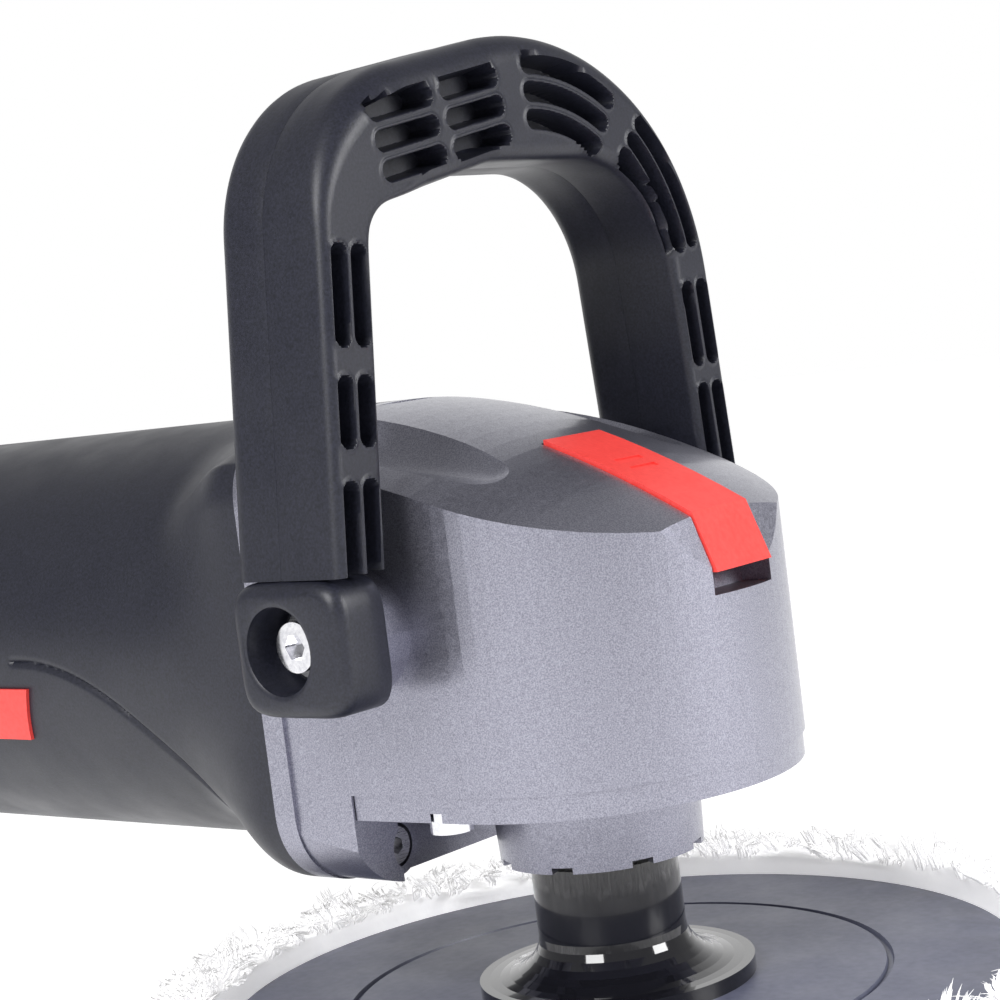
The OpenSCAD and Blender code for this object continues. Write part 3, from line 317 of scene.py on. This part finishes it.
def outline(t, g=0.0):
    """Point at t on the outline taken in by g: 0-1 left leg, 1-2 left corner, 2-3 bar,
    3-4 right corner, 4-5 right leg. Legs and bar are straight lines, corners arcs."""
    t, g = np.broadcast_arrays(np.asarray(t, float), np.asarray(g, float))
    f = t[..., None]
    near = lambda a: on_ring(near_c, NEAR_R - g, a)
    far = lambda a: on_ring(far_c, FAR_R - g, a)
    left, right = near(180 - NEAR_SLOPE), far(FAR_SLOPE)
    foot = np.full(t.shape, FOOT_TOP)
    low_l = np.stack([left[..., 0] - near_tan * (left[..., 1] - FOOT_TOP), foot], -1)
    low_r = np.stack([right[..., 0] + far_tan * (right[..., 1] - FOOT_TOP), foot], -1)
    bar_a, bar_b = near(90 + BAR_SLOPE), far(90 + BAR_SLOPE)
    corner_l = near(180 - NEAR_SLOPE - (90 - NEAR_SLOPE - BAR_SLOPE) * (t - 1))
    corner_r = far(90 + BAR_SLOPE - (90 + BAR_SLOPE - FAR_SLOPE) * (t - 3))
    parts = [low_l + (left - low_l) * f, corner_l, bar_a + (bar_b - bar_a) * (f - 2),
             corner_r, right + (low_r - right) * (f - 4)]
    point = parts[4]
    for k in (3, 2, 1, 0):
        point = np.where(f <= k + 1, parts[k], point)
    return point


in_low, in_far_low = outline(0, LEG_T), outline(5, LEG_T)
in_top = far_c[1] + FAR_R - BAR_T - 1.3
IN_NEAR_R, IN_FAR_R, BELOW = 9.0, 26.0, (0, -3)
in_far_c = (in_far_low[0] - far_tan * 40 - IN_FAR_R - 0.6, in_top - IN_FAR_R)
in_near_c = (in_low[0] + near_tan * 62 + IN_NEAR_R, in_top - 6.4 - IN_NEAR_R)
inner_line = np.concatenate([
    [in_low + BELOW, in_low],
    arc_points(*in_near_c, IN_NEAR_R, 180 - NEAR_SLOPE, 90 + BAR_SLOPE, 24),
    arc_points(far_c[0] - 9, in_top - 60, 60.0, 93, 90, 4),
    arc_points(*in_far_c, IN_FAR_R, 90, FAR_SLOPE, 40),
    [in_far_low, in_far_low + BELOW]])


def inside_of(points, inward):
    """For each point, the nearest place where the line along inward meets the inner outline."""
    a, b = inner_line[:-1], inner_line[1:]
    e = b - a
    cross = lambda u, v: u[..., 0] * v[..., 1] - u[..., 1] * v[..., 0]
    d = cross(inward[:, None], e[None])
    w = a[None] - points[:, None]
    with np.errstate(divide="ignore", invalid="ignore"):
        far_along, share = cross(w, e[None]) / d, cross(w, inward[:, None]) / d
    ok = (share >= -1e-6) & (share <= 1 + 1e-6) & (far_along > 2)
    return np.where(ok, far_along, np.inf).min(axis=1)


# %% [markdown]
# The rows of the grid stand across the loop, 2.6 of them to a millimetre of each stretch. At every
# row the thickness is the distance to the inside, smoothed over a few rows so the face has no kinks.

# %% Rows and thickness
STRETCHES, ROWS_PER_MM = (60, 34, 30, 80, 56), 2.6
ts = np.unique(np.concatenate([np.linspace(k, k + 1, int(n * ROWS_PER_MM) + 1)
                               for k, n in enumerate(STRETCHES)]))
outer = outline(ts)
inward = outline(ts, 1.0) - outer
inward /= np.linalg.norm(inward, axis=1, keepdims=True)
thick = inside_of(outer, inward)
thick = np.where(np.isfinite(thick), thick, LEG_T)
thick = np.convolve(np.pad(thick, 5, mode="edge"), np.ones(11) / 11, mode="valid")
print("handle rows", len(ts), "thickness", round(thick.min(), 1), "to", round(thick.max(), 1))

# %% [markdown]
# Slots lighten the moulding and let it cool evenly. Each is a place along the outline, from t0 to
# t1, and a distance g in from the outside. The rows of the bar run on straight into the left corner.
# Its depth comes from the distance to its middle line, so the ends are round of themselves.

# %% Slots of the handle
LEG_CELLS = [(-0.17, 0.27), (0.36, 0.57), (0.65, 0.95), (4.03, 4.4), (4.5, 4.97)]
BAR_CELLS, TURN_CELLS, FAR_CELLS = [(1.48, 2.17), (2.3, 2.96)], [(3.09, 3.46)], [(3.55, 3.93)]
SLOTS = [(cell, g) for cells, rows in ((LEG_CELLS, (4.0, 9.0)), (BAR_CELLS, (7.8, 13.5, 19.2)),
                                       (TURN_CELLS, (6.4, 11.9, 17.4)), (FAR_CELLS, (4.4, 8.9, 13.4)))
         for cell in cells for g in rows]
SLOT_HALF, SLOT_DEPTH, SLOT_EDGE = 1.85, 7.0, 0.5
RIM_HEIGHT, RIM_WIDTH = 0.25, 0.3


def slot_depth(points):
    """Full depth near a slot's middle line, easing to 0 across its edge, with a low rim outside."""
    depth = np.zeros(points.shape[:-1])
    rim = np.zeros(points.shape[:-1])
    flat = points.reshape(-1, 2)
    for (t0, t1), g in SLOTS:
        step = SLOT_HALF / (56 if t0 < 1 or t0 > 4 else 29 if t0 < 3 else 70)
        t = np.linspace(t0 + step, t1 - step, 40)
        bar = outline(2.0, g) + (outline(3.0, g) - outline(2.0, g)) * (t[:, None] - 2)
        line = bar if 1 < t0 < 3 else outline(t, g)
        a, e = line[:-1], line[1:] - line[:-1]
        near = np.full(len(flat), 1e9)
        box = (flat > line.min(0) - 4).all(1) & (flat < line.max(0) + 4).all(1)
        p = flat[box]
        s = np.clip(((p[:, None] - a) * e).sum(-1) / (e * e).sum(-1), 0, 1)
        near[box] = np.linalg.norm(p[:, None] - a - s[..., None] * e, axis=-1).min(axis=1)
        near = near.reshape(depth.shape)
        depth = np.maximum(depth, SLOT_DEPTH * ease((SLOT_HALF + 0.2 - near) / SLOT_EDGE))
        rim = np.maximum(rim, RIM_HEIGHT * np.exp(-((near - SLOT_HALF - 0.5) / RIM_WIDTH) ** 2))
    return depth - rim


# %% [markdown]
# A section runs from the parting line out to the front edge, round it, across the face and back on
# the inner side. The outer edge is rounder on the bar, where the hand lies, than on the legs.

# %% Half of the loop
def loop_half(name, x_split, x_face, across, slots):
    """Half a loop: s is the distance in from the outline and x the height over the parting plane;
    straight sides, quarter-circle edges and a flat face follow each other round the section."""
    out_dir = 1.0 if x_face > x_split else -1.0
    r_out = 2.3 + 4.0 * ease((ts - 0.9) / 0.8) * (1 - ease((ts - 2.9) / 0.9))
    r_in = 1.9 + 1.6 * ease((ts - 1.4) / 0.6) * (1 - ease((ts - 3.6) / 0.6))
    if not slots:
        r_out, r_in = r_out * 0 + 5.0, r_in * 0 + 4.5
    deep = abs(x_face - x_split)
    s_list, x_list = [], []
    for k in np.linspace(0, 1, 6):
        s_list.append(0.3 * (1 - ease(k * 4)) + 0 * ts)
        x_list.append(k * (deep - r_out))
    for k in np.linspace(0, 90, 9)[1:]:
        s_list.append(r_out * (1 - math.cos(math.radians(k))))
        x_list.append(deep - r_out * (1 - math.sin(math.radians(k))))
    for k in np.linspace(0, 1, across)[1:-1]:
        s_list.append(r_out + (thick - r_out - r_in) * k)
        x_list.append(deep + 0 * ts)
    for k in np.linspace(90, 0, 9)[:-1]:
        s_list.append(thick - r_in * (1 - math.cos(math.radians(k))))
        x_list.append(deep - r_in * (1 - math.sin(math.radians(k))))
    for k in np.linspace(1, 0, 6):
        s_list.append(thick - 0.3 * (1 - ease(k * 4)))
        x_list.append(k * (deep - r_in))
    s, x = np.stack(s_list, 1), np.stack(x_list, 1)
    place = outer[:, None] + inward[:, None] * s[..., None]
    if slots:
        x = x - slot_depth(place) * ease((x - deep + 1.5) / 1.0)
    grid = np.stack([x_split + out_dir * x, place[..., 0], place[..., 1]], -1)
    return skin(name, grid * MM)


# %% [markdown]
# A foot is a block with a deep round recess for the bolt's head. Rings round the bolt start in the
# hole, climb the recess as circles, turn into a rounded square at the face and go round its edge to
# the back. The square's radius is the superellipse (|cos|/a)^5 + (|sin|/b)^5 = r^-5.

# %% Feet of the handle
HOLE_R, RECESS_R, RECESS_DEEP, FOOT_DEEP, FOOT_EDGE, FOOT_PROUD = 3.3, 8.2, 10.0, 12.8, 3.2, 0.8


def foot_block(side, half):
    """Rings (circle radius or inset of the square, depth under the face) joined round the bolt."""
    a = np.linspace(0, 2 * np.pi, 97)[:-1]
    wide, tall = 14.5, 12.8
    square = 1.0 / ((np.abs(np.cos(a)) / wide) ** 5 + (np.abs(np.sin(a)) / tall) ** 5) ** 0.2
    rings = [(HOLE_R, None, FOOT_DEEP), (HOLE_R, None, RECESS_DEEP), (8.1, None, RECESS_DEEP),
             (RECESS_R, None, 9.7), (RECESS_R, None, 0.9), (8.35, None, 0.35),
             (8.8, None, 0.05), (9.3, None, 0)]
    for turn in np.radians(np.arange(0, 91, 11)):
        rings.append((None, FOOT_EDGE * (1 - math.sin(turn)), FOOT_EDGE * (1 - math.cos(turn))))
    rings += [(None, 0.0, 8.0), (None, 0.0, 11.6), (None, 0.8, 12.6), (None, 2.0, FOOT_DEEP)]
    rows = []
    for r, inset, d in rings:
        radius = np.full(a.shape, r) if r else square - inset
        centre = BOLT_X if r else MIDDLE
        rows.append(np.stack([centre + radius * np.cos(a), side * (half + FOOT_PROUD - d) + 0 * a,
                              BOLT_Z + radius * np.sin(a)], -1))
    return skin("foot_left" if side < 0 else "foot_right", np.array(rows) * MM, wrap_rows=True)


def joined(name, parts):
    """One object from several that lie at the origin."""
    bpy.ops.object.select_all(action="DESELECT")
    for p in parts:
        p.select_set(True)
    bpy.context.view_layer.objects.active = parts[0]
    bpy.ops.object.join()
    parts[0].name = name
    return parts[0]


# %% [markdown]
# The front half and both feet become one piece, the rear half another. They stand for the two CAD
# shells and ride with them when the handle tilts.

# %% Put the handle together
front_half = loop_half("handle_front", SPLIT, FRONT, 84, True)
rear_half = loop_half("handle_rear", SPLIT - 0.05, BACK, 14, False)
feet = [foot_block(-1, NEAR_HALF), foot_block(1, FAR_HALF)]
handle_front = joined("handle_front", [front_half, *feet])
for piece, node in ((handle_front, "handle_front_shell"), (rear_half, "handle_rear_shell")):
    soft_corners(piece, 40)
    piece.data.materials.append(black)
    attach(piece, "handle_group")
    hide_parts(node)

# %% [markdown]
# The motor housing is one moulding: a round barrel that swells into the square flange. Each ring is
# a blend of a circle and the flange's outline, and the blend is an ease over the last 34 mm. Long
# air slots near the back are pressed in the same way as the slots of the handle, and a shallow
# groove curves round each side where the outer skin of the real moulding steps.

# %% Motor housing
AXIS_Z, FLANGE_HALF, FLANGE_R, CROWN_R = 114.0, 47.0, 16.0, 134.0
HOUSING_FRONT, HOUSING_BACK, BARREL_R, VENTS = -43.6, -181.6, 46.5, 9


def flange_radius(a):
    """Distance from the motor axis to the rounded square, cut by the crown's arc on top."""
    c, s = np.abs(np.cos(a)), np.abs(np.sin(a))
    flat = np.minimum(FLANGE_HALF / np.maximum(c, 1e-9), FLANGE_HALF / np.maximum(s, 1e-9))
    m = FLANGE_HALF - FLANGE_R
    dot = m * (c + s)
    round_r = dot + np.sqrt(np.maximum(dot ** 2 - 2 * m * m + FLANGE_R ** 2, 0))
    corner = (flat * c > m) & (flat * s > m)
    r = np.where(corner, np.minimum(round_r, flat), flat)
    low = CROWN_R - FLANGE_HALF
    up = np.sin(a)
    crown = -up * low + np.sqrt(np.maximum((up * low) ** 2 - low ** 2 + CROWN_R ** 2, 0))
    return np.minimum(r, crown)


def housing_skin():
    """Rings along the axis, r = circle + (flange - circle) * ease, minus slots, groove and the
    recess of the brush cap; both ends turn in towards the axis."""
    x = np.unique(np.concatenate([np.linspace(HOUSING_BACK, HOUSING_FRONT - 44, 130),
                                  np.linspace(HOUSING_FRONT - 44, HOUSING_FRONT, 70)]))
    a = np.linspace(0, 2 * np.pi, 481)[:-1]
    xx, aa = np.meshgrid(x, a, indexing="ij")
    share = ease((xx - (HOUSING_FRONT - 36)) / 33) ** 1.15
    r = BARREL_R + (flange_radius(aa) - BARREL_R) * share
    from_top = np.degrees(np.abs((aa - np.pi / 2 + np.pi) % (2 * np.pi) - np.pi))
    slot = np.zeros_like(r)
    for k in range(VENTS):
        off = np.abs(from_top - (50 + 8 * k)) * np.pi / 180 * BARREL_R
        along = np.maximum(np.abs(xx - (HOUSING_BACK + 26)) - 10.8, 0)
        slot = np.maximum(slot, ease((1.45 - np.hypot(off, along)) / 0.5))
    r = r - 3.0 * slot
    z = r * np.sin(aa)
    bow = np.hypot(xx - (HOUSING_FRONT - 78), z + 56) - 56
    side = ease((np.abs(np.cos(aa)) - 0.35) / 0.2) * (xx > HOUSING_FRONT - 80)
    r = r - 0.9 * np.exp(-(bow / 0.55) ** 2) * side
    cap = np.hypot(xx - (HOUSING_BACK + 39), z) - 8.6
    r = r - 2.0 * ease((0.3 - cap) / 0.6) * (np.abs(np.cos(aa)) > 0.8)
    grid = np.stack([xx, r * np.cos(aa), AXIS_Z + r * np.sin(aa)], -1)
    ends = []
    for row in (grid[0], grid[-1]):
        inner = row.copy()
        inner[:, 1:] = (row[:, 1:] - (0, AXIS_Z)) * 0.6 + (0, AXIS_Z)
        ends.append(inner[None])
    return skin("motor_housing_skin", np.concatenate([ends[0], grid, ends[1]]) * MM)


housing = housing_skin()
soft_corners(housing, 40)
housing.data.materials.append(black)
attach(housing, "machine")
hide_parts("motor_housing")

# %% [markdown]
# Castings and mouldings never have knife edges. The button and the gear head keep their exact CAD
# shape, and a narrow bevel breaks their sharp edges so that they catch the light.

# %% Broken edges
BROKEN = {"lock_button": 0.0011, "gear_head": 0.0006, "head_plate": 0.0004, "flange_plate": 0.0005}
for node, width in BROKEN.items():
    bevel = frame["nodes"][node].modifiers.new("broken_edge", "BEVEL")
    bevel.width, bevel.segments, bevel.limit_method = width, 3, "ANGLE"
    bevel.angle_limit = math.radians(38)
print("edges broken on", list(BROKEN))

# %% [markdown]
# The wool is many short curled locks on a bumpy base. A lock is a handful of thin three-sided
# fibres that start together, lean the same way and curl. The base is a lathe whose radius and
# height wander with smooth noise made of a few waves.

# %% Wool pad
rng = np.random.default_rng(7)


def wander(angle, along, scale):
    """Sum of six waves round the pad and along its section, between about -scale and scale."""
    total = np.zeros(np.broadcast(angle, along).shape)
    for k in range(6):
        wave = np.sin(angle * (7 + 5 * k) + along * (0.21 + 0.07 * k) + 1.7 * k)
        total = total + wave / (1 + 0.6 * k)
    return total * scale / 2.2


section = np.concatenate([
    [(0.5, 1.2), (30, 1.2), (60, 1.2), (80, 1.4)], arc_points(88, 14, 12.5, -90, 0, 10),
    arc_points(90, 33, 10.5, 0, 115, 10),
    [(87.0, 40.0), (87.0, 33.0), (87.0, 26.5), (60, 26.0), (12, 26.0), (0.5, 26.0)]])
turns = np.linspace(0, 2 * np.pi, 361)[:-1]
run = np.cumsum(np.r_[0, np.linalg.norm(np.diff(section, axis=0), axis=1)])
soft = np.array([0, 0, 0.1, 0.3] + [1] * 22 + [0.4, 0, 0, 0, 0, 0])
bump = wander(turns[None], run[:, None], 1.6) * soft[:, None]
ring_r, ring_z = section[:, :1] + bump, section[:, 1:] + bump * 0.5
grid = np.stack([ring_r * np.cos(turns), ring_r * np.sin(turns), np.maximum(ring_z, 0.6)], -1)
wool_base = skin("wool_base", grid * MM)


# %% [markdown]
# Fibres of one lock share their start, lean, length and curl, with small differences between them.
# A fibre has six triangular rings that shrink to its tip, and sines of its length make it curl.

# %% Locks of fibre
def locks(count, fibres, reach):
    """Fibres on the rim: point = start + length * s along the lean, plus sines of s for the curl."""
    n = count * fibres
    pick = np.repeat(rng.random(count), fibres)
    a0 = np.repeat(rng.random(count) * 2 * np.pi, fibres) + rng.normal(0, 0.010, n)
    t = np.clip(pick + rng.normal(0, 0.012, n), 0, 1)
    spot = run[4] + (run[25] - run[4]) * t
    base_r, base_z = np.interp(spot, run, section[:, 0]) - 1.5, np.interp(spot, run, section[:, 1])
    tilt = np.interp(spot, [run[4], run[14], run[15], run[25]], [-80, 0, 0, 112])
    lean = np.repeat(rng.normal(0, 22, count), fibres) + rng.normal(0, 7, n)
    out = np.radians(np.clip(tilt + lean, -75, 130))
    side = np.repeat(rng.normal(0, 0.5, count), fibres) + rng.normal(0, 0.12, n)
    length = np.repeat(rng.uniform(*reach, count), fibres) * rng.uniform(0.8, 1.1, n)
    swing = np.repeat(rng.uniform(0.6, 2.2, count), fibres)
    phase = np.repeat(rng.uniform(0, 6.28, count), fibres)
    grids = []
    for s in np.linspace(0, 1, 6):
        d = length * s
        r = base_r + d * np.cos(out) + swing * s * np.sin(6 * s + phase) * 0.6
        z = base_z + d * np.sin(out) - 1.2 * s * s + swing * s * np.cos(5 * s + phase) * 0.6
        a = a0 + (side * d + swing * s * np.sin(7 * s + phase)) / 100.0
        width = 0.34 * (1 - s) ** 0.7 + 0.03
        for k in range(3):
            b = 2 * np.pi * k / 3
            rr, aa = r + width * math.cos(b), a + width * math.sin(b) / 100.0
            zz = z + width * math.cos(b + 1.2)
            grids.append(np.stack([rr * np.cos(aa), rr * np.sin(aa), np.maximum(zz, 0.3)], -1))
    points = np.stack(grids, 1)
    level, k = np.meshgrid(np.arange(5) * 3, np.arange(3), indexing="ij")
    after = (k + 1) % 3
    sides = np.stack([level + k, level + after, level + 3 + after, level + 3 + k], -1).reshape(-1, 4)
    first = (np.arange(n) * 18)[:, None, None]
    quads = (sides[None] + first).reshape(-1, 4)
    ends = (np.array([[2, 1, 0], [15, 16, 17]])[None] + first).reshape(-1, 3)
    mesh = bpy.data.meshes.new("wool_locks")
    mesh.from_pydata((points.reshape(-1, 3) * MM).tolist(), [], quads.tolist() + ends.tolist())
    mesh.polygons.foreach_set("use_smooth", [True] * len(mesh.polygons))
    piece = bpy.data.objects.new("wool_locks", mesh)
    bpy.context.collection.objects.link(piece)
    print("wool_locks", n, "fibres")
    return piece


wool_locks = locks(2600, 8, (3.0, 8.0))
# The wool glows a little (white emission, strength 0.38) on top of its own white colour: painted
# light that lifts the shade between the fibres.
wool, wool_tree, wool_shader = material("wool", (0.96, 0.96, 0.97), 0.0, 0.95,
                                        Emission_Color=(1.0, 0.99, 0.98, 1.0),
                                        Emission_Strength=0.38)
wool_cloud = object_noise(wool_tree, 240.0, 3.0, 0.6)
tint(wool_tree, wool_cloud.outputs["Fac"], (0.84, 0.84, 0.87), (0.98, 0.98, 0.98),
     wool_shader.inputs["Base Color"])
relief(wool_tree, wool_cloud.outputs["Fac"], wool_shader, 0.5, 0.0006)
for piece in (wool_base, wool_locks):
    piece.data.materials.append(wool)
    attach(piece, "spindle_group")
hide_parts("wool_pad")

# %% [markdown]
# A pale floor and a pale world stand for the studio. The world is white behind the machine and
# dimmer elsewhere, so that metal and gloss have something dark to mirror. Two soft boxes give the
# highlights, and the glossy hub mirrors them as bright squares.

# %% Studio
def soft_box(name, place, aim, size, power):
    """Square area light at place that faces aim."""
    data = bpy.data.lights.new(name, "AREA")
    data.shape = "RECTANGLE"
    data.size, data.size_y = size
    data.energy = power
    lamp = bpy.data.objects.new(name, data)
    bpy.context.collection.objects.link(lamp)
    lamp.location = place
    lamp.rotation_euler = (Vector(aim) - Vector(place)).to_track_quat("-Z", "Y").to_euler()
    return lamp


world = bpy.data.worlds.new("studio")
bpy.context.scene.world = world
world.use_nodes = True
sky = world.node_tree
way = sky.nodes.new("ShaderNodeTexCoord")
facing = sky.nodes.new("ShaderNodeVectorMath")
facing.operation = "DOT_PRODUCT"
facing.inputs[1].default_value = (-back.x, -back.y, -back.z)
sky.links.new(way.outputs["Generated"], facing.inputs[0])
fade = sky.nodes.new("ShaderNodeMapRange")
for key, value in (("From Min", 0.55), ("From Max", 0.92), ("To Min", 0.30), ("To Max", 1.0)):
    fade.inputs[key].default_value = value
sky.links.new(facing.outputs["Value"], fade.inputs["Value"])
sky.links.new(fade.outputs["Result"], sky.nodes["Background"].inputs["Strength"])
sky.nodes["Background"].inputs["Color"].default_value = (1.0, 1.0, 1.0, 1.0)
bpy.context.scene.view_settings.view_transform = "Standard"

floor_mesh = bpy.data.meshes.new("floor")
REACH, UNDER = 4, -0.0005
corners = [(x * REACH, y * REACH, UNDER) for x, y in ((-1, -1), (1, -1), (1, 1), (-1, 1))]
floor_mesh.from_pydata(corners, [], [(0, 1, 2, 3)])
floor = bpy.data.objects.new("floor", floor_mesh)
bpy.context.collection.objects.link(floor)
floor_mat, _, floor_shader = material("floor_white", (0.5, 0.5, 0.5), 0.0, 0.9)
floor_shader.inputs["Emission Color"].default_value = (1.0, 1.0, 1.0, 1.0)
floor_shader.inputs["Emission Strength"].default_value = 0.8
floor_mesh.materials.append(floor_mat)
soft_box("key", (0.1, -0.9, 0.75), (0, 0, 0.1), (0.5, 0.5), 10.0)
soft_box("fill", (0.9, 0.35, 0.5), (0, 0, 0.1), (0.4, 0.4), 7.0)
print("studio ready")
